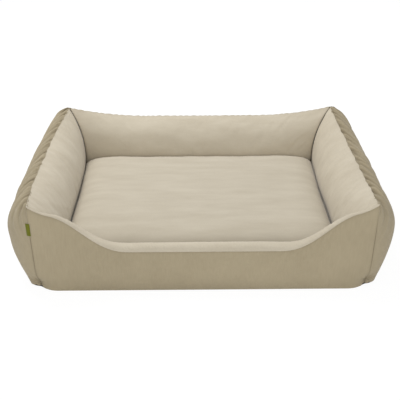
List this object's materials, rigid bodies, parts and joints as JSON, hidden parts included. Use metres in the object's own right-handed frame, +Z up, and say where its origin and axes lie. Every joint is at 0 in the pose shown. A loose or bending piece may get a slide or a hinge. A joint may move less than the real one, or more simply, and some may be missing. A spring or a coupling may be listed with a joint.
{
  "type": "dog bed",
  "caption": "Rectangular bolster dog bed: padded rolled sides and back, a low dipped front to step over, a loose crowned cushion and zipped covers.",
  "frame": {"origin": "on the floor under the middle of the bed's outer box", "axes": "+X to the right along the bed's width, -Y out of the low front, +Z up"},
  "size_m": [1.0002, 0.73, 0.25],
  "materials": {
    "outer_cloth": "matt woven taupe cloth",
    "lining_cloth": "short soft beige pile",
    "base_cloth": "matt dark woven cloth",
    "filling": "polyester fibre",
    "tag_ribbon": "plain green ribbon",
    "zip_tape": "woven tape",
    "zip_teeth": "moulded nylon",
    "zip_metal": "die-cast, dull nickel"
  },
  "bodies": {
    "border": {"base_panel": "base_cloth", "front_panel": "outer_cloth", "back_panel": "outer_cloth", "left_panel": "outer_cloth", "right_panel": "outer_cloth", "front_lining": "lining_cloth", "back_lining": "lining_cloth", "left_lining": "lining_cloth", "right_lining": "lining_cloth", "front_bolster_fill": "filling", "back_bolster_fill": "filling", "left_bolster_fill": "filling", "right_bolster_fill": "filling", "seam_tag": "tag_ribbon", "border_zip_tape_upper": "zip_tape", "border_zip_tape_lower": "zip_tape", "border_zip_teeth_upper": "zip_teeth", "border_zip_teeth_lower": "zip_teeth", "border_zip_stops": "zip_metal"},
    "border_slider": {"border_zip_slider": "zip_metal"},
    "border_pull": {"border_zip_pull": "zip_metal"},
    "cushion": {"cushion_top_cover": "lining_cloth", "cushion_bottom_cover": "lining_cloth", "cushion_core": "filling", "cushion_zip_tape_upper": "zip_tape", "cushion_zip_tape_lower": "zip_tape", "cushion_zip_teeth_upper": "zip_teeth", "cushion_zip_teeth_lower": "zip_teeth", "cushion_zip_stops": "zip_metal"},
    "cushion_slider": {"cushion_zip_slider": "zip_metal"},
    "cushion_pull": {"cushion_zip_pull": "zip_metal"}
  },
  "joints": [
    {"name": "cushion_lift", "type": "slide", "parent": "border", "child": "cushion", "axis": [0, 0, 1], "range_m": [0, 0.27]},
    {"name": "border_zip_run", "type": "slide", "parent": "border", "child": "border_slider", "axis": [-1, 0, 0], "range_m": [0, 0.619]},
    {"name": "border_pull_swing", "type": "hinge", "parent": "border_slider", "child": "border_pull", "pos_m": [0.3095, 0.34953, 0.04185], "axis": [1, 0, 0], "range_deg": [-24, 150]},
    {"name": "cushion_zip_run", "type": "slide", "parent": "cushion", "child": "cushion_slider", "axis": [-1, 0, 0], "range_m": [0, 0.402]},
    {"name": "cushion_pull_swing", "type": "hinge", "parent": "cushion_slider", "child": "cushion_pull", "pos_m": [0.201, 0.2141, 0.0583], "axis": [1, 0, 0], "range_deg": [0, 35]}
  ]
}
